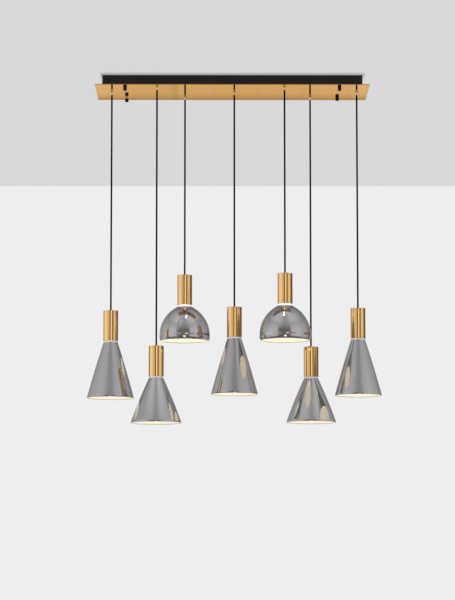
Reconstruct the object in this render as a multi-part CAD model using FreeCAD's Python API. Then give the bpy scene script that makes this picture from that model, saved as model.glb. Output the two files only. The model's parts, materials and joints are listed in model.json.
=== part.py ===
import FreeCAD, Part
import math
import os

# Seven-light linear cluster pendant, in millimetres. +Z up, X along the canopy, -Y towards the
# viewer. The origin is the centre of the ceiling face of the bracket: the ceiling is z = 0.

V = FreeCAD.Vector
UP = V(0, 0, 1)

# ---- driving dimensions: canopy
HOUSING_LENGTH = 900.0
HOUSING_DEPTH = 230.0
HOUSING_HEIGHT = 36.0
HOUSING_WALL = 1.5
HOUSING_CORNER = 4.0

BRACKET_END_MARGIN = 50.0
BRACKET_LENGTH = HOUSING_LENGTH - 2 * BRACKET_END_MARGIN
BRACKET_WIDTH = 60.0
BRACKET_SHEET = 2.0
CROSS_BAR_WIDTH = 36.0
CROSS_BAR_MARGIN = 14.0
SCREW_SLOT_SPACING = 600.0
SCREW_SLOT_LENGTH = 20.0
SCREW_SLOT_RADIUS = 2.75
SUPPLY_HOLE_RADIUS = 12.5
SUPPLY_HOLE_X = 45.0

PLATE_OVERHANG = 25.0
PLATE_LENGTH = HOUSING_LENGTH + 2 * PLATE_OVERHANG
PLATE_DEPTH = HOUSING_DEPTH + 2 * PLATE_OVERHANG
PLATE_THICKNESS = 2.0
PLATE_CORNER = 2.0

STUD_RADIUS = 2.5
STUD_END_MARGIN = 78.0
STUD_SIDE_MARGIN = 25.0
STUD_X = HOUSING_LENGTH / 2 - STUD_END_MARGIN
STUD_Y = HOUSING_DEPTH / 2 - STUD_SIDE_MARGIN
KNOB_RADIUS = 6.3
KNOB_HEIGHT = 12.0
KNOB_BORE_DEPTH = 10.5
KNOB_EDGE = 2.5
STUD_TIP_GAP = 0.5
UNSCREWED = 5.5

GLAND_RADIUS = 5.2
GLAND_MOUTH_RADIUS = 4.2
GLAND_HEIGHT = 10.0
GLAND_SHANK_RADIUS = 4.0
LOCK_NUT_FLATS = 13.0
LOCK_NUT_HEIGHT = 3.5
GLAND_ABOVE_NUT = 1.0

TERMINAL_LENGTH = 150.0
TERMINAL_DEPTH = 24.0
TERMINAL_HEIGHT = 18.0
TERMINAL_SCREW_RADIUS = 2.5
TERMINAL_SCREW_DEPTH = 3.0
TERMINAL_Y = 45.0
TAIL_BEND = 9.0
TAIL_RISE = 1.0
TAIL_INSERT = 5.0

# ---- driving dimensions: pendants
CABLE_RADIUS = 3.0
GRIP_BALL_RADIUS = 7.0
GRIP_BALL_DEPTH = 6.2

TUBE_RADIUS = 26.0
TUBE_LENGTH = 105.0
TUBE_WALL = 1.2
TUBE_TOP = 3.0
TUBE_EDGE = 0.6

CONE_NECK_RADIUS = 25.0
CONE_NECK_HEIGHT = 5.6
DOME_NECK_RADIUS = 23.0
GLASS_WALL = 2.0
GLASS_FLANGE = 2.5
LINER_WALL = 1.5
LINER_FLANGE = 1.5

TALL_HEIGHT = 198.0
TALL_RADIUS = 82.0
TALL_BULGE = 1.2
WIDE_HEIGHT = 159.0
WIDE_RADIUS = 88.0
WIDE_BULGE = 1.8
DOME_HEIGHT = 127.0
DOME_RADIUS = 89.0
DOME_ARC = 115.0
DOME_WAIST = 17.0
DOME_RIM_RADIUS = 85.0

SKIRT_RADIUS = 14.0
SKIRT_BELOW_RING = 1.0
HOLDER_BODY_RADIUS = 17.0
HOLDER_BODY_DROP = 40.0
HOLDER_FLANGE_DROP = 70.0
HOLDER_FLANGE = 3.0

RING_RADIUS = 18.5
RING_HEIGHT = 5.0
RING_NOTCHES = 12
RING_NOTCH_RADIUS = 1.6

LAMP_RADIUS = 8.0
LAMP_BASE_RADIUS = 9.0
LAMP_BASE_HEIGHT = 20.0
LAMP_LENGTH = 60.0

# ---- named clearances
SEAT_GAP = 0.3
HOLE_GAP = 0.2
SLIDE_GAP = 0.1

# how far a cutting tool runs past the faces it goes through
CUT_PAST = 1.0

# the cable row: its shift along the plate, its two outer rows, and each tube top's drop below the ceiling
ROW_SHIFT = 7.5
ROW_SIDE = 90.0
OUTER_X = 428.5
WIDE_X = 268.5
DOME_X = 173.5
DROP_1 = 808.0
DROP_2 = 939.0
DROP_3 = 672.0
DROP_4 = 795.0
DROP_5 = 688.0
DROP_6 = 925.0
DROP_7 = 799.0

# from left to right: x, y and drop of the tube's top, with its kind of shade
PENDANTS = [
    (ROW_SHIFT - OUTER_X, 0.0, DROP_1, "tall"),
    (ROW_SHIFT - WIDE_X, -ROW_SIDE, DROP_2, "wide"),
    (ROW_SHIFT - DOME_X, ROW_SIDE, DROP_3, "dome"),
    (ROW_SHIFT, 0.0, DROP_4, "tall"),
    (ROW_SHIFT + DOME_X, -ROW_SIDE, DROP_5, "dome"),
    (ROW_SHIFT + WIDE_X, ROW_SIDE, DROP_6, "wide"),
    (ROW_SHIFT + OUTER_X, 0.0, DROP_7, "tall"),
]
# where each cable's tail enters the terminal block: the side, and how far along it from the middle
TAIL_ENTRIES = [("front", -60.0), ("front", -36.0), ("left", 0.0), ("front", 0.0), ("front", 36.0),
                ("right", 0.0), ("front", 60.0)]
# the knobs: side in x, side in y and how far each one is unscrewed at rest
KNOBS = [(-1, -1, 0.0), (-1, 1, UNSCREWED), (1, -1, 0.0), (1, 1, 0.0)]

PLATE_BOTTOM = -HOUSING_HEIGHT - PLATE_THICKNESS
HOUSING_FLOOR = -HOUSING_HEIGHT + HOUSING_WALL
GLAND_MOUTH = PLATE_BOTTOM - GLAND_HEIGHT
LOCK_NUT_TOP = HOUSING_FLOOR + LOCK_NUT_HEIGHT
GLAND_TOP = LOCK_NUT_TOP + GLAND_ABOVE_NUT
TAIL_LEVEL = GLAND_TOP + TAIL_BEND + TAIL_RISE


def cylinder(x, y, low, high, radius):
    return Part.makeCylinder(radius, high - low, V(x, y, low), UP)


def block(length, depth, low, high, x=0.0, y=0.0):
    return Part.makeBox(length, depth, high - low, V(x - length / 2, y - depth / 2, low))


def rounded_block(length, depth, low, high, corner, x=0.0, y=0.0):
    solid = block(length, depth, low, high, x, y)
    upright = [e for e in solid.Edges if abs(e.BoundBox.ZLength - (high - low)) < 1e-6]
    return solid.makeFillet(corner, upright)


def revolved(edges, x, y):
    """A solid of revolution about the vertical axis through x, y, from edges in the XZ plane."""
    face = Part.Face(Part.Wire(edges))
    solid = face.revolve(V(0, 0, 0), UP, 360)
    solid = Part.Solid(solid.Shells[0]) if solid.ShapeType != "Solid" else solid
    solid.translate(V(x, y, 0))
    return solid


def line(a, b):
    return Part.LineSegment(V(a[0], 0, a[1]), V(b[0], 0, b[1])).toShape()


def arc(a, middle, b):
    return Part.Arc(V(a[0], 0, a[1]), V(middle[0], 0, middle[1]), V(b[0], 0, b[1])).toShape()


def polygon(points):
    return [line(a, b) for a, b in zip(points, points[1:] + points[:1])]


def save(name, shape):
    shape.exportStep("parts/" + name + ".step")


def hex_prism(x, y, low, high, flats):
    corner = flats / math.sqrt(3)
    points = [V(x + corner * math.cos(math.radians(60 * k)), y + corner * math.sin(math.radians(60 * k)), low)
              for k in range(7)]
    return Part.Face(Part.makePolygon(points)).extrude(V(0, 0, high - low))


# ---- canopy

def stud_places():
    return [(sx * STUD_X, sy * STUD_Y) for sx, sy, _ in KNOBS]


def ceiling_bracket():
    """Steel strap with two cross bars, ceiling screw slots, supply hole and four welded studs."""
    low = -BRACKET_SHEET
    solid = block(BRACKET_LENGTH, BRACKET_WIDTH, low, 0)
    for side in (-1, 1):
        bar = block(CROSS_BAR_WIDTH, 2 * (STUD_Y + CROSS_BAR_MARGIN), low, 0, side * STUD_X)
        solid = solid.fuse(bar)
    for side in (-1, 1):
        x = side * SCREW_SLOT_SPACING / 2
        straight = SCREW_SLOT_LENGTH - 2 * SCREW_SLOT_RADIUS
        solid = solid.cut(block(straight, 2 * SCREW_SLOT_RADIUS, low - CUT_PAST, CUT_PAST, x))
        for end in (-1, 1):
            solid = solid.cut(cylinder(x + end * straight / 2, 0, low - CUT_PAST, CUT_PAST, SCREW_SLOT_RADIUS))
    solid = solid.cut(cylinder(SUPPLY_HOLE_X, 0, low - CUT_PAST, CUT_PAST, SUPPLY_HOLE_RADIUS))
    stud_end = PLATE_BOTTOM - KNOB_BORE_DEPTH + STUD_TIP_GAP
    for x, y in stud_places():
        solid = solid.fuse(cylinder(x, y, stud_end, low, STUD_RADIUS))
    return solid.removeSplitter()


def sheet_holes(solid, low, high):
    """The gland and stud holes that the housing floor and the plate share."""
    for x, y, _, _ in PENDANTS:
        solid = solid.cut(cylinder(x, y, low, high, GLAND_SHANK_RADIUS + HOLE_GAP))
    for x, y in stud_places():
        solid = solid.cut(cylinder(x, y, low, high, STUD_RADIUS + HOLE_GAP))
    return solid


def canopy_housing():
    solid = rounded_block(HOUSING_LENGTH, HOUSING_DEPTH, -HOUSING_HEIGHT, 0, HOUSING_CORNER)
    room = rounded_block(HOUSING_LENGTH - 2 * HOUSING_WALL, HOUSING_DEPTH - 2 * HOUSING_WALL,
                         HOUSING_FLOOR, CUT_PAST, HOUSING_CORNER - HOUSING_WALL)
    return sheet_holes(solid.cut(room), -HOUSING_HEIGHT - CUT_PAST, HOUSING_FLOOR + CUT_PAST)


def canopy_plate():
    solid = rounded_block(PLATE_LENGTH, PLATE_DEPTH, PLATE_BOTTOM, -HOUSING_HEIGHT, PLATE_CORNER)
    return sheet_holes(solid, PLATE_BOTTOM - CUT_PAST, -HOUSING_HEIGHT + CUT_PAST)


def cable_gland(x, y):
    """Tapered collar with a round seat for the swinging cable, and a threaded shank above it."""
    collar = Part.makeCone(GLAND_MOUTH_RADIUS, GLAND_RADIUS, GLAND_HEIGHT, V(x, y, GLAND_MOUTH), UP)
    solid = collar.fuse(cylinder(x, y, PLATE_BOTTOM, GLAND_TOP, GLAND_SHANK_RADIUS))
    solid = solid.cut(cylinder(x, y, GLAND_MOUTH, GLAND_TOP + CUT_PAST, CABLE_RADIUS + SLIDE_GAP))
    return solid.cut(Part.makeSphere(CABLE_RADIUS + SEAT_GAP, V(x, y, GLAND_MOUTH)))


def lock_nut(x, y):
    solid = hex_prism(x, y, HOUSING_FLOOR, LOCK_NUT_TOP, LOCK_NUT_FLATS)
    bore = cylinder(x, y, HOUSING_FLOOR - CUT_PAST, LOCK_NUT_TOP + CUT_PAST, GLAND_SHANK_RADIUS + SLIDE_GAP)
    return solid.cut(bore)


def terminal_block():
    """Strip of terminals, one way per cable and one for the supply, with screw pockets on top."""
    top = HOUSING_FLOOR + TERMINAL_HEIGHT
    solid = block(TERMINAL_LENGTH, TERMINAL_DEPTH, HOUSING_FLOOR, top, ROW_SHIFT, TERMINAL_Y)
    ways = len(PENDANTS) + 1
    pitch = TERMINAL_LENGTH / ways
    for k in range(ways):
        x = ROW_SHIFT + (k + 0.5) * pitch - TERMINAL_LENGTH / 2
        for side in (-1, 1):
            y = TERMINAL_Y + side * TERMINAL_DEPTH / 4
            pocket = cylinder(x, y, top - TERMINAL_SCREW_DEPTH, top + CUT_PAST, TERMINAL_SCREW_RADIUS)
            solid = solid.cut(pocket)
    for (x, y, _, _), entry in zip(PENDANTS, TAIL_ENTRIES):
        solid = solid.cut(tail(x, y, tail_entry(*entry), CABLE_RADIUS + HOLE_GAP, TAIL_INSERT + SEAT_GAP))
    return solid


def tail_entry(side, along):
    """Where a cable's tail meets the terminal block."""
    if side == "front":
        return V(ROW_SHIFT + along, TERMINAL_Y - TERMINAL_DEPTH / 2, TAIL_LEVEL)
    end = {"left": -TERMINAL_LENGTH / 2, "right": TERMINAL_LENGTH / 2}[side]
    return V(ROW_SHIFT + end, TERMINAL_Y + along, TAIL_LEVEL)


def tail(x, y, entry, radius, insert):
    """A cable's fixed end: up out of its gland, one bend, then straight into the terminal block."""
    start = V(x, y, GLAND_MOUTH + CABLE_RADIUS + 3 * SEAT_GAP)
    corner = V(x, y, TAIL_LEVEL)
    along = (entry - corner).normalize()
    end = entry + along * insert
    a = corner - UP * TAIL_BEND
    b = corner + along * TAIL_BEND
    centre = a + along * TAIL_BEND
    middle = centre + (corner - centre).normalize() * TAIL_BEND
    path = Part.Wire([Part.LineSegment(start, a).toShape(), Part.Arc(a, middle, b).toShape(),
                      Part.LineSegment(b, end).toShape()])
    ring = Part.Wire([Part.Circle(start, UP, radius).toShape()])
    return path.makePipeShell([ring], True, False)


def canopy_wiring():
    return [tail(x, y, tail_entry(*entry), CABLE_RADIUS, TAIL_INSERT)
            for (x, y, _, _), entry in zip(PENDANTS, TAIL_ENTRIES)]


def fixing_knob(x, y, drop):
    """Cap nut with a rounded end, blind from below."""
    high = PLATE_BOTTOM - drop
    low = high - KNOB_HEIGHT
    solid = cylinder(x, y, low, high, KNOB_RADIUS)
    solid = solid.makeFillet(KNOB_EDGE, [e for e in solid.Edges if e.BoundBox.ZMax < low + 1e-6])
    return solid.cut(cylinder(x, y, high - KNOB_BORE_DEPTH, high + CUT_PAST, STUD_RADIUS + SLIDE_GAP))


# ---- pendants

def cable(x, y, tube_top):
    """Straight cable with a rounded upper end in the gland and a moulded ball grip below."""
    ball = tube_top - GRIP_BALL_DEPTH
    solid = cylinder(x, y, ball, GLAND_MOUTH, CABLE_RADIUS)
    solid = solid.fuse(Part.makeSphere(CABLE_RADIUS, V(x, y, GLAND_MOUTH)))
    return solid.fuse(Part.makeSphere(GRIP_BALL_RADIUS, V(x, y, ball)))


def tube(x, y, top):
    """Brass tube, closed at the top, with the ball seat in its top."""
    low = top - TUBE_LENGTH
    solid = cylinder(x, y, low, top, TUBE_RADIUS)
    solid = solid.makeFillet(TUBE_EDGE, [e for e in solid.Edges if e.BoundBox.ZMin > top - 1e-6])
    solid = solid.cut(cylinder(x, y, low - CUT_PAST, top - TUBE_TOP, TUBE_RADIUS - TUBE_WALL))
    return solid.cut(Part.makeSphere(GRIP_BALL_RADIUS + SEAT_GAP, V(x, y, top - GRIP_BALL_DEPTH)))


def neck_radius(kind):
    return DOME_NECK_RADIUS if kind == "dome" else CONE_NECK_RADIUS


def side_arcs(kind):
    """A shade's outer side as arcs from neck to rim: (radius, drop) of the centre, arc radius, end angle."""
    if kind == "dome":
        widest = DOME_HEIGHT - DOME_WAIST
        tuck = DOME_RADIUS - DOME_RIM_RADIUS
        low_arc = (DOME_WAIST ** 2 + tuck ** 2) / (2 * tuck)
        return [((DOME_RADIUS - DOME_ARC, widest), DOME_ARC, 0.0),
                ((DOME_RADIUS - low_arc, widest), low_arc, -math.asin(DOME_WAIST / low_arc))]
    height, rim, bulge = {"tall": (TALL_HEIGHT, TALL_RADIUS, TALL_BULGE),
                          "wide": (WIDE_HEIGHT, WIDE_RADIUS, WIDE_BULGE)}[kind]
    run = height - CONE_NECK_HEIGHT
    rise = rim - CONE_NECK_RADIUS
    slant = math.hypot(run, rise)
    radius = (slant ** 2 / 4 + bulge ** 2) / (2 * bulge)
    centre = ((CONE_NECK_RADIUS + rim) / 2 - (radius - bulge) * run / slant,
              (CONE_NECK_HEIGHT + height) / 2 + (radius - bulge) * rise / slant)
    return [(centre, radius, math.atan2(centre[1] - height, rim - centre[0]))]


def side(kind, level, inset):
    """The side's arcs, set back by inset all along, each as three points (radius, height)."""
    arcs = []
    start = None
    for centre, radius, end in side_arcs(kind):
        radius -= inset
        if start is None:
            start = math.acos((neck_radius(kind) - inset - centre[0]) / radius)
        points = [(centre[0] + radius * math.cos(t), level - centre[1] + radius * math.sin(t))
                  for t in (start, (start + end) / 2, end)]
        arcs.append(points)
        start = end
    return arcs


def shade_height(kind):
    return {"tall": TALL_HEIGHT, "wide": WIDE_HEIGHT, "dome": DOME_HEIGHT}[kind]


def glass(x, y, level, kind, inset, wall, flange, flange_drop):
    """One glass: a flange with a hole for the skirt, a neck and the flared side, of even wall."""
    hole = SKIRT_RADIUS + SEAT_GAP
    outer = side(kind, level, inset)
    inner = side(kind, level, inset + wall)
    start, inner_start = outer[0][0], inner[0][0]
    end, inner_end = outer[-1][2], inner[-1][2]
    across = (end[0] - inner_end[0], end[1] - inner_end[1])
    lip = ((end[0] + inner_end[0] + across[1]) / 2, (end[1] + inner_end[1] - across[0]) / 2)
    top = level - flange_drop
    under = top - flange
    neck = neck_radius(kind) - inset
    edges = polygon([inner_start, (neck - wall, under), (hole, under), (hole, top), (neck, top), start])[:-1]
    edges += [arc(*points) for points in outer]
    edges.append(arc(end, lip, inner_end))
    edges += [arc(b, m, a) for a, m, b in reversed(inner)]
    return revolved(edges, x, y)


def shade_outer(x, y, level, kind):
    return glass(x, y, level, kind, 0.0, GLASS_WALL, GLASS_FLANGE, 0.0)


def shade_liner(x, y, level, kind):
    inset = GLASS_WALL + SEAT_GAP
    return glass(x, y, level, kind, inset, LINER_WALL, LINER_FLANGE, GLASS_FLANGE + SEAT_GAP)


def clamp_drop():
    """How far the shade ring's top lies below the tube: under both glass flanges."""
    return GLASS_FLANGE + SEAT_GAP + LINER_FLANGE + SEAT_GAP


def skirt_drop():
    return clamp_drop() + RING_HEIGHT + SKIRT_BELOW_RING


def lamp_holder(x, y, top):
    """Ceramic holder: a flange that fits the tube, a body above it and a threaded skirt below."""
    level = top - TUBE_LENGTH
    bore = LAMP_BASE_RADIUS + SEAT_GAP
    body_top = top - HOLDER_BODY_DROP
    flange_top = top - HOLDER_FLANGE_DROP
    flange_low = flange_top - HOLDER_FLANGE
    skirt_low = level - skirt_drop()
    fit = TUBE_RADIUS - TUBE_WALL - SLIDE_GAP
    lamp_seat = skirt_low + LAMP_BASE_HEIGHT
    points = [(0, body_top), (HOLDER_BODY_RADIUS, body_top), (HOLDER_BODY_RADIUS, flange_top),
              (fit, flange_top), (fit, flange_low), (SKIRT_RADIUS, flange_low),
              (SKIRT_RADIUS, skirt_low), (bore, skirt_low), (bore, lamp_seat), (0, lamp_seat)]
    return revolved(polygon(points), x, y)


def shade_ring(x, y, level):
    high = level - clamp_drop()
    low = high - RING_HEIGHT
    solid = cylinder(x, y, low, high, RING_RADIUS)
    solid = solid.cut(cylinder(x, y, low - CUT_PAST, high + CUT_PAST, SKIRT_RADIUS + SLIDE_GAP))
    for k in range(RING_NOTCHES):
        angle = 2 * math.pi * k / RING_NOTCHES
        notch = cylinder(x + RING_RADIUS * math.cos(angle), y + RING_RADIUS * math.sin(angle),
                         low - CUT_PAST, high + CUT_PAST, RING_NOTCH_RADIUS)
        solid = solid.cut(notch)
    return solid


def lamp(x, y, level):
    """Capsule lamp: a base in the holder and a round-ended glass below it."""
    high = level - skirt_drop() + LAMP_BASE_HEIGHT
    base_low = level - skirt_drop()
    tip = high - LAMP_LENGTH
    round_start = tip + LAMP_RADIUS
    edge = LAMP_RADIUS * math.sqrt(0.5)
    edges = [line((0, high), (LAMP_BASE_RADIUS, high)),
             line((LAMP_BASE_RADIUS, high), (LAMP_BASE_RADIUS, base_low)),
             line((LAMP_BASE_RADIUS, base_low), (LAMP_RADIUS, base_low)),
             line((LAMP_RADIUS, base_low), (LAMP_RADIUS, round_start)),
             arc((LAMP_RADIUS, round_start), (edge, round_start - edge), (0, tip)),
             line((0, tip), (0, high))]
    return revolved(edges, x, y)


def main():
    os.makedirs("parts", exist_ok=True)
    places = [(x, y) for x, y, _, _ in PENDANTS]
    save("ceiling_bracket", ceiling_bracket())
    save("canopy_housing", canopy_housing())
    save("canopy_plate", canopy_plate())
    save("cable_glands", Part.makeCompound([cable_gland(x, y) for x, y in places]))
    save("gland_lock_nuts", Part.makeCompound([lock_nut(x, y) for x, y in places]))
    save("terminal_block", terminal_block())
    save("canopy_wiring", Part.makeCompound(canopy_wiring()))
    for number, (side_x, side_y, drop) in enumerate(KNOBS, 1):
        save("fixing_knob_%d" % number, fixing_knob(side_x * STUD_X, side_y * STUD_Y, drop))
    for number, (x, y, drop, kind) in enumerate(PENDANTS, 1):
        top = -drop
        level = top - TUBE_LENGTH
        pieces = {
            "cable": cable(x, y, top),
            "tube": tube(x, y, top),
            "lamp_holder": lamp_holder(x, y, top),
            "shade_outer": shade_outer(x, y, level, kind),
            "shade_liner": shade_liner(x, y, level, kind),
            "shade_ring": shade_ring(x, y, level),
            "lamp": lamp(x, y, level),
        }
        for name, shape in pieces.items():
            save("%s_%d" % (name, number), shape)
        print("pendant", number, kind, "free cable", round(GLAND_MOUTH - top, 1), "mm, rim at",
              round(level - shade_height(kind), 1))


main()
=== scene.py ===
import bpy
import json
import math
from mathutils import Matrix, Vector


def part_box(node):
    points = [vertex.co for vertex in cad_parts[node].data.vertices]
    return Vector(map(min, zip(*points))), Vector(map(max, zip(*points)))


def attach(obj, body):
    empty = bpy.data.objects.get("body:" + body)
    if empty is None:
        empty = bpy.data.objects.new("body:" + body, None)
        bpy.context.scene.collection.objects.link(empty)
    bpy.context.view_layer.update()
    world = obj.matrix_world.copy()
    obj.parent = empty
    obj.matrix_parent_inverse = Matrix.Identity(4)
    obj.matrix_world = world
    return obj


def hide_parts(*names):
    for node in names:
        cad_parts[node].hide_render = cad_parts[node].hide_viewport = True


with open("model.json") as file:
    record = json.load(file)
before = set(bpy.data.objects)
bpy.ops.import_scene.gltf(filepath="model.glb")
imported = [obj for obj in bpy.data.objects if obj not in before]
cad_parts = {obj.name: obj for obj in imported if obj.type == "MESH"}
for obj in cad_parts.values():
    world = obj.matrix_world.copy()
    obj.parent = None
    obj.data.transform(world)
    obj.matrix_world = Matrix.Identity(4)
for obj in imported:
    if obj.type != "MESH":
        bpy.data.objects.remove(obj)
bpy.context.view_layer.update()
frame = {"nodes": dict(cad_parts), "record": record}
NODES = frame["nodes"]

# Kinds of shade, by pendant number from the left, seen from the front (-Y)
KINDS = {1: "tall", 2: "wide", 3: "dome", 4: "tall", 5: "dome", 6: "wide", 7: "tall"}

# Sizes in metres that the lathed pieces share with the part
CABLE_DIAMETER = 0.006
CABLE_STRAIGHT = 6 * CABLE_DIAMETER
CABLE_BEVEL_STEPS = 6
BALL_RADIUS = 0.007
BALL_DEPTH = 0.0062
TUBE_RADIUS = 0.026
CONE_NECK_RADIUS = 0.025
CONE_NECK_HEIGHT = 0.0056
DOME_NECK_RADIUS = 0.023
SHADE_HEIGHT = {"tall": 0.198, "wide": 0.159, "dome": 0.127}
GLASS_WALL = 0.002
LINER_WALL = 0.0015
LINER_SHORT = {"tall": 0.0028, "wide": 0.0028, "dome": 0.0045}
GLASS_GAP = 0.0003
FLANGE = 0.0025
LINER_FLANGE = 0.0015
FLANGE_HOLE = 0.0143
CURL = 0.0016
CURL_HEIGHT = 0.0048
RIM_RADIUS = {"tall": 0.082, "wide": 0.088, "dome": 0.085}
BULGE = {"tall": 0.0012, "wide": 0.0018}
DOME_RADIUS = 0.089
DOME_ARC = 0.115
DOME_WAIST = 0.017
TUBE_WALL = 0.0012
TUBE_EDGE = 0.0006
TUBE_EDGE_TURNS = (30, 60, 90)
TUBE_HOLE = 0.0040
TUBE_HOLE_FLARE = 0.002
TUBE_TOP = 0.003
NECK_EDGE = 0.0004

# Fineness of the meshes
ON_AXIS = 1e-7
TURN_STEPS = 128
SIDE_STEPS = 40
CURL_STEPS = 8
LIP_STEPS = 8
LINER_LIP_STEPS = 6
BALL_STEPS = 12
SHARP_ANGLE = 35

# Photograph's frame
IMAGE_LONG = 600
FOCAL_PIXELS = 2600
SENSOR = 36.0
CAMERA_PLACE = (-0.057, -8.964, -1.799)
CAMERA_PITCH = 6.55
CAMERA_YAW = 0.26
CAMERA_REACH = 100.0


# ---------------------------------------------------------------- node helpers

def new_material(name):
    mat = bpy.data.materials.new(name)
    mat.use_nodes = True
    tree = mat.node_tree
    tree.nodes.clear()
    out = tree.nodes.new("ShaderNodeOutputMaterial")
    shader = tree.nodes.new("ShaderNodeBsdfPrincipled")
    tree.links.new(shader.outputs["BSDF"], out.inputs["Surface"])
    return mat, tree, shader


def stretched_noise(tree, stretch, scale, detail=4.0):
    """Noise in object coordinates, squeezed so that it runs in streaks."""
    coords = tree.nodes.new("ShaderNodeTexCoord")
    mapping = tree.nodes.new("ShaderNodeMapping")
    mapping.inputs["Scale"].default_value = stretch
    noise = tree.nodes.new("ShaderNodeTexNoise")
    noise.inputs["Scale"].default_value = scale
    noise.inputs["Detail"].default_value = detail
    tree.links.new(coords.outputs["Object"], mapping.inputs["Vector"])
    tree.links.new(mapping.outputs["Vector"], noise.inputs["Vector"])
    return noise.outputs["Fac"]


def axes_of(tree, coordinates):
    """The X, Y and Z of the given texture coordinates."""
    coords = tree.nodes.new("ShaderNodeTexCoord")
    split = tree.nodes.new("ShaderNodeSeparateXYZ")
    tree.links.new(coords.outputs[coordinates], split.inputs["Vector"])
    return split.outputs


def maths(tree, operation, *values):
    """A Math node's result; each value is a number or another node's output."""
    node = tree.nodes.new("ShaderNodeMath")
    node.operation = operation
    for socket, value in zip(node.inputs, values):
        if isinstance(value, (int, float)):
            socket.default_value = value
        else:
            tree.links.new(value, socket)
    return node.outputs["Value"]


def share_of_way(tree, source, low, high):
    """0 at low, 1 at high."""
    node = tree.nodes.new("ShaderNodeMapRange")
    node.inputs["From Min"].default_value = low
    node.inputs["From Max"].default_value = high
    tree.links.new(source, node.inputs["Value"])
    return node.outputs["Result"]


def ramp(tree, source, stops):
    """Colour that follows source through the stops: (place, colour)."""
    node = tree.nodes.new("ShaderNodeValToRGB")
    elements = node.color_ramp.elements
    elements.remove(elements[1])
    elements[0].position = stops[0][0]
    elements[0].color = tuple(stops[0][1]) + (1.0,)
    for at, colour in stops[1:]:
        elements.new(at).color = tuple(colour) + (1.0,)
    tree.links.new(source, node.inputs["Fac"])
    return node.outputs["Color"]


def spread(tree, source, low, high):
    """Low where source is 0, high where it is 1."""
    node = tree.nodes.new("ShaderNodeMapRange")
    node.inputs["To Min"].default_value = low
    node.inputs["To Max"].default_value = high
    tree.links.new(source, node.inputs["Value"])
    return node.outputs["Result"]


def bump(tree, shader, source, strength, distance):
    node = tree.nodes.new("ShaderNodeBump")
    node.inputs["Strength"].default_value = strength
    node.inputs["Distance"].default_value = distance
    tree.links.new(source, node.inputs["Height"])
    tree.links.new(node.outputs["Normal"], shader.inputs["Normal"])


def grey(v):
    return (v, v, v)


# ---------------------------------------------------------------- materials

EVEN = (1, 1, 1)
SMOOTHEST_SHARE = 0.7


def brass(name, stretch, scale, dark, light, rough, relief):
    """Brushed brass: streaks of colour, roughness and fine relief along one direction."""
    mat, tree, shader = new_material(name)
    shader.inputs["Metallic"].default_value = 1.0
    streaks = stretched_noise(tree, stretch, scale)
    tone = ramp(tree, streaks, [(0.3, dark), (0.7, light)])
    tree.links.new(tone, shader.inputs["Base Color"])
    tree.links.new(spread(tree, streaks, *rough), shader.inputs["Roughness"])
    bump(tree, shader, streaks, strength=relief, distance=0.0004)
    return mat


def painted(name, dark, light, rough, grain, relief, metallic=0.0, specular=0.5):
    """Powder coat or moulded plastic: fine orange-peel relief and slight tone changes."""
    mat, tree, shader = new_material(name)
    shader.inputs["Specular IOR Level"].default_value = specular
    shader.inputs["Metallic"].default_value = metallic
    fine = stretched_noise(tree, EVEN, scale=grain, detail=3.0)
    broad = stretched_noise(tree, EVEN, scale=9.0, detail=2.0)
    tone = ramp(tree, broad, [(0.3, dark), (0.7, light)])
    tree.links.new(tone, shader.inputs["Base Color"])
    tree.links.new(spread(tree, broad, *rough), shader.inputs["Roughness"])
    bump(tree, shader, fine, strength=relief, distance=0.0003)
    return mat


def tinted(tree, colour, tone):
    """The colour multiplied by the tone."""
    mix = tree.nodes.new("ShaderNodeMix")
    mix.data_type = "RGBA"
    mix.blend_type = "MULTIPLY"
    mix.inputs["Factor"].default_value = 1.0
    tree.links.new(colour, mix.inputs["A"])
    tree.links.new(tone, mix.inputs["B"])
    return mix.outputs["Result"]


# Plate's colour from front to back and its tint from left to right, both a painted reflection, and the tone
# of its bands
PLATE_PAINTED_REFLECTION_DEPTHS = [(0.0, (0.82, 0.49, 0.19)), (0.55, (0.76, 0.45, 0.17)), (0.80, (0.56, 0.29, 0.09)),
                (0.94, (0.28, 0.12, 0.03))]
PLATE_PAINTED_REFLECTION_WIDTHS = [(0.0, (1.08, 1.18, 1.7)), (0.10, (0.98, 0.93, 0.92)), (0.27, (0.88, 0.84, 0.76)),
                (0.295, (0.70, 0.62, 0.50)), (0.31, (0.90, 0.96, 0.78)), (0.40, (0.94, 0.88, 0.78)),
                (0.60, (0.90, 0.86, 0.76)), (0.90, (0.99, 0.97, 1.1)), (1.0, (1.08, 1.18, 1.8))]
PLATE_BANDS = [(0.30, grey(0.88)), (0.55, grey(1.0)), (0.8, grey(0.94))]
PLATE_GRAZING_TINT = (0.93, 0.725, 0.43, 1.0)


def plate_material():
    """Satin brass sheet with a painted reflection: darker and redder at the back, paler at its ends;
    faintly banded.
    """
    mat, tree, shader = new_material("plate_brass")
    shader.inputs["Metallic"].default_value = 1.0
    shader.inputs["Specular Tint"].default_value = PLATE_GRAZING_TINT
    axes = axes_of(tree, "Object")
    low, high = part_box("canopy_plate")
    # Painted reflection: the brass darker and redder towards the back
    tone = ramp(tree, share_of_way(tree, axes["Y"], low.y, high.y), PLATE_PAINTED_REFLECTION_DEPTHS)
    # Painted reflection: pale, bluish ends and a narrow dark line near the left
    ends = ramp(tree, share_of_way(tree, axes["X"], low.x, high.x), PLATE_PAINTED_REFLECTION_WIDTHS)
    bands = stretched_noise(tree, (1.0, 0.02, 0.02), scale=26.0, detail=3.0)
    body = tinted(tree, tone, ends)
    colour = tinted(tree, body, ramp(tree, bands, PLATE_BANDS))
    tree.links.new(colour, shader.inputs["Base Color"])
    tree.links.new(spread(tree, bands, 0.05, 0.10), shader.inputs["Roughness"])
    return mat


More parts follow.
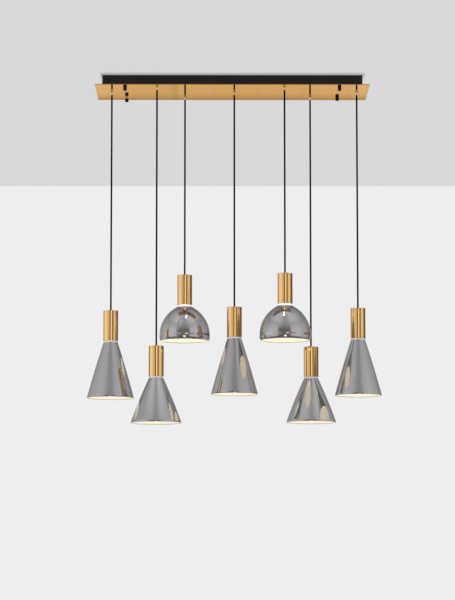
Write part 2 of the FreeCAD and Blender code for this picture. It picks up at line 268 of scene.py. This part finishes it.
def smoked_mirror(name):
    """Smoked, mirror-coated blown glass: grey metal-like coat under clear gloss."""
    mat, tree, shader = new_material(name)
    shader.inputs["Metallic"].default_value = 0.9
    shader.inputs["Coat Weight"].default_value = 0.35
    shader.inputs["Coat Roughness"].default_value = 0.02
    wash = stretched_noise(tree, (1, 1, 0.45), scale=7.0, detail=2.0)
    tone = ramp(tree, wash, [(0.25, (0.41, 0.400, 0.415)), (0.75, (0.47, 0.460, 0.480))])
    tree.links.new(tone, shader.inputs["Base Color"])
    tree.links.new(spread(tree, wash, 0.06, 0.12), shader.inputs["Roughness"])
    ripple = stretched_noise(tree, (1, 1, 0.6), scale=16.0, detail=1.0)
    bump(tree, shader, ripple, strength=0.10, distance=0.002)
    return mat


def lit_glass(name, edge, middle, glow, roughness=0.35):
    """Glass lit from inside: a warm glow, cloudy like opal, with a glossy skin."""
    mat, tree, shader = new_material(name)
    cloud = stretched_noise(tree, EVEN, scale=14.0, detail=2.0)
    tone = ramp(tree, cloud, [(0.2, edge), (0.8, middle)])
    tree.links.new(tone, shader.inputs["Base Color"])
    tree.links.new(tone, shader.inputs["Emission Color"])
    shader.inputs["Emission Strength"].default_value = glow
    rough = spread(tree, cloud, roughness * SMOOTHEST_SHARE, roughness)
    tree.links.new(rough, shader.inputs["Roughness"])
    return mat


def cable_jacket():
    """Black cable jacket with the faint lay of its cores."""
    mat, tree, shader = new_material("cable_jacket")
    lay = stretched_noise(tree, (1, 1, 0.25), scale=900.0, detail=2.0)
    shader.inputs["Specular IOR Level"].default_value = 0.02
    tone = ramp(tree, lay, [(0.3, grey(0.001)), (0.7, grey(0.003))])
    tree.links.new(tone, shader.inputs["Base Color"])
    tree.links.new(spread(tree, lay, 0.7, 0.85), shader.inputs["Roughness"])
    bump(tree, shader, lay, strength=0.1, distance=0.0001)
    return mat


MATERIALS = {
    "plate_brass": plate_material(),
    "tube_brass": brass("tube_brass", stretch=(1.0, 1.0, 0.02), scale=320.0, dark=(0.80, 0.52, 0.222),
                        light=(0.85, 0.56, 0.245), rough=(0.05, 0.075), relief=0.003),
    "gland_brass": brass("gland_brass", stretch=EVEN, scale=120.0, dark=(0.94, 0.74, 0.44),
                         light=(0.99, 0.82, 0.54), rough=(0.25, 0.35), relief=0.05),
    "black_metal": painted("black_metal", dark=grey(0.005), light=grey(0.008), rough=(0.42, 0.52),
                           grain=900.0, relief=0.12, specular=0.28),
    "knob_metal": painted("knob_metal", dark=(0.012, 0.010, 0.009), light=(0.022, 0.018, 0.015),
                          rough=(0.3, 0.4), grain=700.0, relief=0.1, metallic=0.6),
    "bracket_steel": painted("bracket_steel", dark=grey(0.46), light=grey(0.56), rough=(0.3, 0.42),
                             grain=500.0, relief=0.1, metallic=1.0),
    "white_plastic": painted("white_plastic", dark=grey(0.66), light=grey(0.74), rough=(0.4, 0.5),
                             grain=600.0, relief=0.06),
    "white_ceramic": painted("white_ceramic", dark=(0.68, 0.67, 0.64), light=(0.76, 0.75, 0.72),
                             rough=(0.2, 0.3), grain=300.0, relief=0.04),
    "smoked_glass": smoked_mirror("smoked_glass"),
    "neck_glass": lit_glass("neck_glass", edge=(0.50, 0.485, 0.50), middle=(0.60, 0.585, 0.60),
                            glow=0.35, roughness=0.15),
    "dome_neck_glass": lit_glass("dome_neck_glass", edge=(0.78, 0.76, 0.80), middle=(0.88, 0.86, 0.90),
                                 glow=0.75, roughness=0.15),
    "rim_glass": lit_glass("rim_glass", edge=(0.56, 0.51, 0.41), middle=(0.66, 0.61, 0.49),
                           glow=0.30, roughness=0.15),
    # Painted reflection: dark glass on the outer half of each shade's lip
    "lip_painted_reflection": lit_glass("lip_painted_reflection", edge=(0.10, 0.09, 0.08), middle=(0.15, 0.135, 0.12),
                           glow=0.02, roughness=0.2),
    "opal_glass": lit_glass("opal_glass", edge=(0.98, 0.91, 0.75), middle=(0.98, 0.94, 0.82), glow=0.30),
    "lamp_glass": lit_glass("lamp_glass", edge=(1.0, 0.88, 0.66), middle=(1.0, 0.94, 0.80), glow=2.0),
    "cable_jacket": cable_jacket(),
}


# ---------------------------------------------------------------- mesh helpers

def finish_piece(obj, body, replaced):
    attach(obj, body)
    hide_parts(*replaced)


def turned_rows(x, y, profile):
    """A row of vertices for each (radius, height); a point on the axis is a single vertex."""
    turns = [2 * math.pi * k / TURN_STEPS for k in range(TURN_STEPS)]
    verts = []
    rows = []
    for r, z in profile:
        first = len(verts)
        if r < ON_AXIS:
            rows.append([first] * TURN_STEPS)
            verts.append((x, y, z))
        else:
            rows.append([first + k for k in range(TURN_STEPS)])
            verts += [(x + r * math.cos(t), y + r * math.sin(t), z) for t in turns]
    return verts, rows


def turned_faces(rows, closed):
    """The faces between neighbouring rows: (number of the span, corners)."""
    spans = zip(rows, rows[1:] + rows[:1] if closed else rows[1:])
    faces = []
    for index, (a, b) in enumerate(spans):
        for k in range(TURN_STEPS):
            n = (k + 1) % TURN_STEPS
            corners = list(dict.fromkeys((a[k], b[k], b[n], a[n])))
            if len(corners) > 2:
                faces.append((index, corners))
    return faces


def lathe(name, x, y, profile, materials, material_of=None, closed=True):
    """Turns a list of (radius, height) about the vertical axis at x, y into a smooth mesh."""
    verts, rows = turned_rows(x, y, profile)
    faces = turned_faces(rows, closed)
    mesh = bpy.data.meshes.new(name)
    mesh.from_pydata(verts, [], [corners for span, corners in faces])
    for m in materials:
        mesh.materials.append(MATERIALS[m])
    for polygon, (span, corners) in zip(mesh.polygons, faces):
        polygon.use_smooth = True
        polygon.material_index = material_of(span) if material_of else 0
    mesh.validate()
    mesh.update()
    mesh.set_sharp_from_angle(angle=math.radians(SHARP_ANGLE))
    obj = bpy.data.objects.new(name, mesh)
    bpy.context.scene.collection.objects.link(obj)
    return obj


def centre_of(node):
    low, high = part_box(node)
    return (low + high) / 2


def arc_points(centre, radius, start, end, steps):
    """Points on an arc from the start angle to the end angle."""
    return [(centre[0] + radius * math.cos(start + (end - start) * k / steps),
             centre[1] + radius * math.sin(start + (end - start) * k / steps)) for k in range(steps + 1)]


def seat_of(number):
    """Where a shade hangs: the axis of its tube and the height of the tube's lower edge."""
    tube = "tube_%d" % number
    low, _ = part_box(tube)
    return centre_of(tube), low.z


def neck_radius(kind):
    return DOME_NECK_RADIUS if kind == "dome" else CONE_NECK_RADIUS


def side_arcs(kind, level):
    """The glass's outer side as arcs from neck to rim: (centre, radius, end angle)."""
    rim = level - SHADE_HEIGHT[kind]
    if kind == "dome":
        widest = rim + DOME_WAIST
        tuck = DOME_RADIUS - RIM_RADIUS[kind]
        low_arc = (DOME_WAIST ** 2 + tuck ** 2) / (2 * tuck)
        return [((DOME_RADIUS - DOME_ARC, widest), DOME_ARC, 0.0),
                ((DOME_RADIUS - low_arc, widest), low_arc, -math.asin(DOME_WAIST / low_arc))]
    top = level - CONE_NECK_HEIGHT
    run = top - rim
    rise = RIM_RADIUS[kind] - CONE_NECK_RADIUS
    slant = math.hypot(run, rise)
    radius = (slant ** 2 / 4 + BULGE[kind] ** 2) / (2 * BULGE[kind])
    away = radius - BULGE[kind]
    centre = ((CONE_NECK_RADIUS + RIM_RADIUS[kind]) / 2 - away * run / slant,
              (top + rim) / 2 - away * rise / slant)
    return [(centre, radius, math.atan2(rim - centre[1], RIM_RADIUS[kind] - centre[0]))]


def cut_above(points, height):
    """The points down to the given height, the last one moved onto it."""
    kept = [p for p in points if p[1] > height]
    (r0, z0), (r1, z1) = points[len(kept) - 1], points[len(kept)]
    return kept + [(r0 + (r1 - r0) * (z0 - height) / (z0 - z1), height)]


def side_profile(kind, level, inset):
    """The glass's side from neck to rim, set back by inset all along: (radius, height)."""
    points = []
    start = None
    for centre, radius, end in side_arcs(kind, level):
        radius -= inset
        if start is None:
            start = math.acos((neck_radius(kind) - inset - centre[0]) / radius)
        points += arc_points(centre, radius, start, end, SIDE_STEPS)[1 if points else 0:]
        start = end
    return points


def curled(points):
    """Draws the last few millimetres above the rim inwards, as the pressed glass does."""
    rim = points[-1][1]
    return [(r - CURL * max(0.0, 1 - (z - rim) / CURL_HEIGHT) ** 2, z) for r, z in points]


def refined(points):
    """Adds points near the rim, where the side curls."""
    (r0, z0), (r1, z1) = points[-2:]
    shares = [k / CURL_STEPS for k in range(1, CURL_STEPS + 1)]
    return points[:-1] + [(r0 + (r1 - r0) * t, z0 + (z1 - z0) * t) for t in shares]


def rounded_lip(a, b, steps=LIP_STEPS):
    """Half-round lip from a to b, bulging downwards."""
    centre = ((a[0] + b[0]) / 2, (a[1] + b[1]) / 2)
    radius = math.dist(a, b) / 2
    start = math.atan2(a[1] - centre[1], a[0] - centre[0])
    return [(centre[0] + radius * math.cos(start - math.pi * k / steps),
             centre[1] + radius * math.sin(start - math.pi * k / steps)) for k in range(1, steps)]


# ---------------------------------------------------------------- pieces

def make_ball(number, x, y, z):
    """Moulded ball grip at the cable's lower end, inside the tube's top."""
    turns = [math.pi * k / BALL_STEPS for k in range(BALL_STEPS + 1)]
    profile = [(BALL_RADIUS * math.sin(t), z + BALL_RADIUS * math.cos(t)) for t in turns]
    profile[0] = (0.0, z + BALL_RADIUS)
    profile[-1] = (0.0, z - BALL_RADIUS)
    ball = lathe("cable_ball_%d" % number, x, y, profile, ["cable_jacket"], closed=False)
    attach(ball, "cable_%d" % number)
    return ball


def make_cable(number):
    """Straight cable from the gland's mouth to the ball grip in the tube's top."""
    node = "cable_%d" % number
    middle = centre_of(node)
    glands_low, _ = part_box("cable_glands")
    _, tube_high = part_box("tube_%d" % number)
    top = glands_low.z
    bottom = tube_high.z - BALL_DEPTH
    curve = bpy.data.curves.new("pendant_cable_%d" % number, "CURVE")
    curve.dimensions = "3D"
    curve.bevel_depth = CABLE_DIAMETER / 2
    curve.bevel_resolution = CABLE_BEVEL_STEPS
    curve.use_fill_caps = True
    spline = curve.splines.new("NURBS")
    heights = [top, top - CABLE_STRAIGHT, bottom + CABLE_STRAIGHT, bottom]
    spline.points.add(len(heights) - 1)
    for point, z in zip(spline.points, heights):
        point.co = (middle.x, middle.y, z, 1.0)
    spline.order_u = 3
    spline.use_endpoint_u = True
    obj = bpy.data.objects.new("pendant_cable_%d" % number, curve)
    bpy.context.scene.collection.objects.link(obj)
    curve.materials.append(MATERIALS["cable_jacket"])
    finish_piece(obj, node, [node])
    ball = make_ball(number, middle.x, middle.y, bottom)


def make_tube(number):
    """Brass tube, open below, with a rounded upper edge and a hole for the cable in its top."""
    node = "tube_%d" % number
    middle = centre_of(node)
    low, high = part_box(node)
    r = TUBE_RADIUS
    edge = TUBE_EDGE
    inner = r - TUBE_WALL
    under = high.z - TUBE_TOP
    profile = [(TUBE_HOLE, high.z), (r - edge, high.z)]
    profile += [(r - edge + edge * math.sin(t), high.z - edge + edge * math.cos(t))
                for t in map(math.radians, TUBE_EDGE_TURNS)]
    # A ring just inside each end keeps the long side's shading straight
    profile += [(r, high.z - 2 * edge), (r, low.z + 2 * edge)]
    profile += [(r, low.z + edge / 2), (r - edge / 2, low.z), (inner, low.z),
                (inner, under), (TUBE_HOLE + TUBE_HOLE_FLARE, under)]
    obj = lathe("brass_tube_%d" % number, middle.x, middle.y, profile, ["tube_brass"])
    finish_piece(obj, "pendant_%d" % number, [node])


# The outer glass's materials, in the order of its slots
SIDE, NECK, RIM, LIP = range(4)


def make_shade(number):
    """Outer smoked glass: clear neck, mirrored side and warm lip, the lip's outer half painted dark as a
    painted reflection of the floor below.
    """
    kind = KINDS[number]
    node = "shade_outer_%d" % number
    middle, level = seat_of(number)
    outer = curled(refined(side_profile(kind, level, 0.0)))
    bare = side_profile(kind, level, GLASS_WALL)
    inner = cut_above(bare, level - SHADE_HEIGHT[kind] + LINER_SHORT[kind]) + bare[-1:]
    lip = rounded_lip(outer[-1], inner[-1])
    neck_side = neck_radius(kind)
    neck = [(neck_side - NECK_EDGE, level), (neck_side, level - NECK_EDGE)]
    under = level - FLANGE
    profile = [(FLANGE_HOLE, level)] + neck + outer + lip + inner[::-1]
    profile += [(inner[0][0], under), (FLANGE_HOLE, under)]
    neck_spans = len(neck) + 1
    side_end = neck_spans + len(outer) - 1
    # The lip's outer half is painted dark, a painted reflection of the floor below
    lip_turn = side_end + len(lip) // 2
    # The pale band goes on past the lip, up to where the liner ends
    lip_end = side_end + len(lip) + 2
    bands = [(neck_spans, NECK), (side_end, SIDE), (lip_turn, LIP), (lip_end, RIM), (len(profile), SIDE)]

    def material_of(span):
        return next(slot for end, slot in bands if span < end)

    neck_glass = "dome_neck_glass" if kind == "dome" else "neck_glass"
    obj = lathe("smoked_shade_%d" % number, middle.x, middle.y, profile,
                ["smoked_glass", neck_glass, "rim_glass", "lip_painted_reflection"], material_of)
    finish_piece(obj, "pendant_%d" % number, [node])


def make_liner(number):
    """Opal glass liner, glowing inside."""
    kind = KINDS[number]
    node = "shade_liner_%d" % number
    middle, level = seat_of(number)
    inset = GLASS_WALL + GLASS_GAP
    end = level - SHADE_HEIGHT[kind] + LINER_SHORT[kind]
    outer = cut_above(side_profile(kind, level, inset), end)
    inner = cut_above(side_profile(kind, level, inset + LINER_WALL), end)
    top = level - FLANGE - GLASS_GAP
    under = top - LINER_FLANGE
    lip = rounded_lip(outer[-1], inner[-1], LINER_LIP_STEPS)
    profile = [(FLANGE_HOLE, top), (outer[0][0], top)] + outer + lip + inner[::-1]
    profile += [(inner[0][0], under), (FLANGE_HOLE, under)]
    obj = lathe("opal_liner_%d" % number, middle.x, middle.y, profile, ["opal_glass"])
    finish_piece(obj, "pendant_%d" % number, [node])


def dress_nodes():
    """Gives every CAD node the material of its slot."""
    for sub in frame["record"]["subparts"]:
        obj = NODES[sub["node"]]
        obj.data.materials.clear()
        obj.data.materials.append(MATERIALS[sub["material_slot"]])


# ---------------------------------------------------------------- stage, light, camera

CEILING_HALF = 6.0
CEILING_BACK = 2.33
CEILING_LIFT = 0.001
SHADOW_REACH = 0.055
SHADOW_SIDE_WEIGHT = 5.0
CEILING_TONES = [(0.0, grey(0.28)), (0.45, grey(0.50)), (1.0, grey(0.695))]
WALL_TONE = 0.855
FILL_STRENGTH = 0.55


def contact_shadow(tree):
    """Ceiling colour, darker within a few centimetres of the canopy's housing."""
    low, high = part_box("canopy_housing")
    axes = axes_of(tree, "Object")
    away = []
    sides = (("X", (high.x - low.x) / 2, SHADOW_SIDE_WEIGHT), ("Y", (high.y - low.y) / 2, 1.0))
    for axis, half, weight in sides:
        size = maths(tree, "ABSOLUTE", axes[axis])
        away.append(maths(tree, "MULTIPLY_ADD", size, weight, -half * weight))
    gap = maths(tree, "MAXIMUM", *away)
    return ramp(tree, share_of_way(tree, gap, 0.0, SHADOW_REACH), CEILING_TONES)


def make_ceiling():
    """Pale ceiling behind the canopy, seen by the camera from below only."""
    mat = bpy.data.materials.new("ceiling_paint")
    mat.use_nodes = True
    tree = mat.node_tree
    tree.nodes.clear()
    out = tree.nodes.new("ShaderNodeOutputMaterial")
    glow = tree.nodes.new("ShaderNodeEmission")
    tree.links.new(contact_shadow(tree), glow.inputs["Color"])
    clear = tree.nodes.new("ShaderNodeBsdfTransparent")
    geometry = tree.nodes.new("ShaderNodeNewGeometry")
    mix = tree.nodes.new("ShaderNodeMixShader")
    tree.links.new(geometry.outputs["Backfacing"], mix.inputs["Fac"])
    tree.links.new(glow.outputs["Emission"], mix.inputs[1])
    tree.links.new(clear.outputs["BSDF"], mix.inputs[2])
    tree.links.new(mix.outputs["Shader"], out.inputs["Surface"])
    half = CEILING_HALF
    corners = [(-half, -half), (-half, CEILING_BACK), (half, CEILING_BACK), (half, -half)]
    mesh = bpy.data.meshes.new("ceiling")
    mesh.from_pydata([(x, y, CEILING_LIFT) for x, y in corners], [], [(0, 1, 2, 3)])
    mesh.materials.append(mat)
    obj = bpy.data.objects.new("ceiling", mesh)
    bpy.context.scene.collection.objects.link(obj)
    obj.visible_diffuse = False
    obj.visible_glossy = False
    obj.visible_transmission = False
    obj.visible_shadow = False


# What metal and glass see, by azimuth in degrees: 0 faces the camera, 90 is towards +X, 180 behind the lamp
BROWN = (0.26, 0.20, 0.17)
TUBE_PANELS = [
    (-180, grey(0.84)), (-160, grey(0.70)), (-140, (0.56, 0.47, 0.43)), (-112, (0.66, 0.58, 0.54)),
    (-97, grey(1.12)), (-70, grey(1.10)), (-54, grey(0.86)), (-38, grey(0.78)), (-20, grey(0.62)),
    (-12, (0.26, 0.20, 0.12)), (2, (0.22, 0.16, 0.08)), (5, grey(1.6)), (13, grey(1.6)),
    (18, (0.30, 0.24, 0.17)), (42, (0.38, 0.32, 0.24)), (53, grey(0.98)), (80, grey(0.86)),
    (95, (0.32, 0.25, 0.18)), (125, (0.14, 0.10, 0.06)), (150, (0.16, 0.12, 0.08)), (165, grey(0.60)),
    (180, grey(0.84))]
DOME_PANELS = [
    (-180, grey(0.32)), (-145, grey(0.42)), (-115, grey(0.66)), (-60, grey(0.95)), (-38, grey(0.84)),
    (-27, BROWN), (19, BROWN), (29, grey(0.86)), (60, grey(0.95)), (115, grey(0.60)), (145, grey(0.30)),
    (180, grey(0.28))]
HIGH_PANELS = [
    (-180, grey(0.22)), (-160, grey(0.24)), (-130, grey(0.50)), (-95, grey(0.72)), (-60, grey(0.90)),
    (-30, grey(0.83)), (-8, grey(0.56)), (8, grey(0.56)), (30, grey(0.85)), (60, grey(0.90)),
    (95, grey(0.72)), (130, grey(0.50)), (160, grey(0.24)), (180, grey(0.22))]
PLATE_TONE = grey(0.84)
FLOOR_PANELS = [
    (-180, grey(0.66)), (-120, grey(0.58)), (-75, (0.11, 0.10, 0.09)), (75, (0.11, 0.10, 0.09)),
    (120, grey(0.58)), (180, grey(0.66))]
DEEP_TONE = grey(0.56)
SPARKLE_TONE = grey(2.4)

# How much of each panel a reflected ray sees, by its elevation in degrees:
# tubes reflect the low rays and cones the high ones
TUBE_RISE = [(2.8, 0.0), (4.2, 1.0), (8.2, 1.0), (9.6, 0.0)]
HIGH_RISE = [(20, 0.0), (36, 1.0)]
HIGH_DIMMING = [(40, 0.82), (48, 1.04)]
FLOOR_RISE = [(-26, 1.0), (-16, 0.0)]
DEEP_RISE = [(-60, 1.0), (-48, 0.0)]
PLATE_RISE = [(-16, 0.0), (-15, 1.0), (-3.5, 1.0), (-1.5, 0.0)]
PLATE_SIDES = [(-168, grey(1.0)), (-158, grey(0.0)), (158, grey(0.0)), (168, grey(1.0))]
SPARKLE_RISE = [(-31, 0.0), (-27, 1.0), (-14, 1.0), (-10, 0.0)]
SPARKLE_SIDES = [(-6, grey(0.0)), (-4, grey(1.0)), (4, grey(1.0)), (6, grey(0.0))]


def by_azimuth(tree, around, panels):
    """Colour that follows the ray's azimuth in degrees."""
    return ramp(tree, around, [(0.5 + angle / 360, colour) for angle, colour in panels])


def by_elevation(tree, rise, stops):
    """Weight that follows the ray's elevation in degrees."""
    places = [(0.5 + math.sin(math.radians(angle)) / 2, grey(weight)) for angle, weight in stops]
    return ramp(tree, rise, places)


def blend(tree, weight, first, second):
    """First where the weight is 0, second where it is 1."""
    mix = tree.nodes.new("ShaderNodeMix")
    mix.data_type = "RGBA"
    for socket_name, value in (("Factor", weight), ("A", first), ("B", second)):
        if isinstance(value, tuple):
            mix.inputs[socket_name].default_value = value + (1.0,)
        else:
            tree.links.new(value, mix.inputs[socket_name])
    return mix.outputs["Result"]


def studio_colour(tree):
    """What a reflected ray sees of the studio."""
    axes = axes_of(tree, "Generated")
    front = maths(tree, "MULTIPLY", axes["Y"], -1.0)
    angle = maths(tree, "ARCTAN2", axes["X"], front)
    around = maths(tree, "MULTIPLY_ADD", angle, 1 / (2 * math.pi), 0.5)
    rise = maths(tree, "MULTIPLY_ADD", axes["Z"], 0.5, 0.5)
    behind = by_azimuth(tree, around, PLATE_SIDES)
    plate = maths(tree, "MULTIPLY", behind, by_elevation(tree, rise, PLATE_RISE))
    low = blend(tree, plate, by_azimuth(tree, around, DOME_PANELS), PLATE_TONE)
    low = blend(tree, by_elevation(tree, rise, TUBE_RISE), low, by_azimuth(tree, around, TUBE_PANELS))
    dimming = by_elevation(tree, rise, HIGH_DIMMING)
    high = tinted(tree, by_azimuth(tree, around, HIGH_PANELS), dimming)
    room = blend(tree, by_elevation(tree, rise, HIGH_RISE), low, high)
    deep = by_elevation(tree, rise, DEEP_RISE)
    floor = blend(tree, deep, by_azimuth(tree, around, FLOOR_PANELS), DEEP_TONE)
    room = blend(tree, by_elevation(tree, rise, FLOOR_RISE), room, floor)
    ahead = by_azimuth(tree, around, SPARKLE_SIDES)
    sparkle = maths(tree, "MULTIPLY", by_elevation(tree, rise, SPARKLE_RISE), ahead)
    return blend(tree, sparkle, room, SPARKLE_TONE)


def background(tree, colour, strength):
    node = tree.nodes.new("ShaderNodeBackground")
    node.inputs["Strength"].default_value = strength
    if isinstance(colour, tuple):
        node.inputs["Color"].default_value = colour + (1.0,)
    else:
        tree.links.new(colour, node.inputs["Color"])
    return node.outputs["Background"]


def shader_mix(tree, weight, first, second):
    node = tree.nodes.new("ShaderNodeMixShader")
    for socket, value in zip(node.inputs, (weight, first, second)):
        tree.links.new(value, socket)
    return node.outputs["Shader"]


def make_world():
    """Pale room for the camera; metal and glass see a soft studio with light and dark panels."""
    world = bpy.data.worlds.new("studio")
    bpy.context.scene.world = world
    world.use_nodes = True
    tree = world.node_tree
    tree.nodes.clear()
    out = tree.nodes.new("ShaderNodeOutputWorld")
    path = tree.nodes.new("ShaderNodeLightPath")
    shiny = maths(tree, "MAXIMUM", path.outputs["Is Glossy Ray"], path.outputs["Is Transmission Ray"])
    fill = background(tree, grey(1.0), FILL_STRENGTH)
    lit = shader_mix(tree, shiny, fill, background(tree, studio_colour(tree), 1.0))
    shown = shader_mix(tree, path.outputs["Is Camera Ray"], lit, background(tree, grey(WALL_TONE), 1.0))
    tree.links.new(shown, out.inputs["Surface"])


KEY_PLACE = (-1.6, -3.2, 0.9)
KEY_TARGET = (0.0, 0.0, -0.9)
KEY_SIZE = 1.6
KEY_POWER = 40
SPARK_PLACE = (0.05, -0.50, 0.95)
SPARK_TARGET = (0.1, -0.1, -0.8)
SPARK_WIDTH = 0.14
SPARK_LENGTH = 0.60
SPARK_POWER = 1.7


def area_light(name, place, target, size, power, size_y=None):
    data = bpy.data.lights.new(name, "AREA")
    data.energy = power
    data.size = size
    if size_y:
        data.shape = "RECTANGLE"
        data.size_y = size_y
    obj = bpy.data.objects.new(name, data)
    obj.location = place
    obj.rotation_mode = "QUATERNION"
    obj.rotation_quaternion = (Vector(target) - Vector(place)).to_track_quat("-Z", "Y")
    bpy.context.scene.collection.objects.link(obj)
    return obj


def make_lights():
    """A soft key that shines no glint, and a small lamp for the glint on the domes."""
    key = area_light("key", KEY_PLACE, KEY_TARGET, KEY_SIZE, KEY_POWER)
    key.visible_glossy = False
    area_light("spark", SPARK_PLACE, SPARK_TARGET, SPARK_WIDTH, SPARK_POWER, SPARK_LENGTH)


def make_camera():
    data = bpy.data.cameras.new("camera")
    data.sensor_width = SENSOR
    data.lens = FOCAL_PIXELS * SENSOR / IMAGE_LONG
    data.clip_end = CAMERA_REACH
    obj = bpy.data.objects.new("camera", data)
    obj.location = CAMERA_PLACE
    obj.rotation_euler = (math.radians(90 + CAMERA_PITCH), 0.0, math.radians(-CAMERA_YAW))
    bpy.context.scene.collection.objects.link(obj)
    bpy.context.scene.camera = obj


make_camera()
for n in KINDS:
    make_cable(n)
    make_tube(n)
    make_shade(n)
    make_liner(n)
dress_nodes()
make_ceiling()
make_world()
make_lights()

bpy.context.scene.view_settings.view_transform = "Standard"
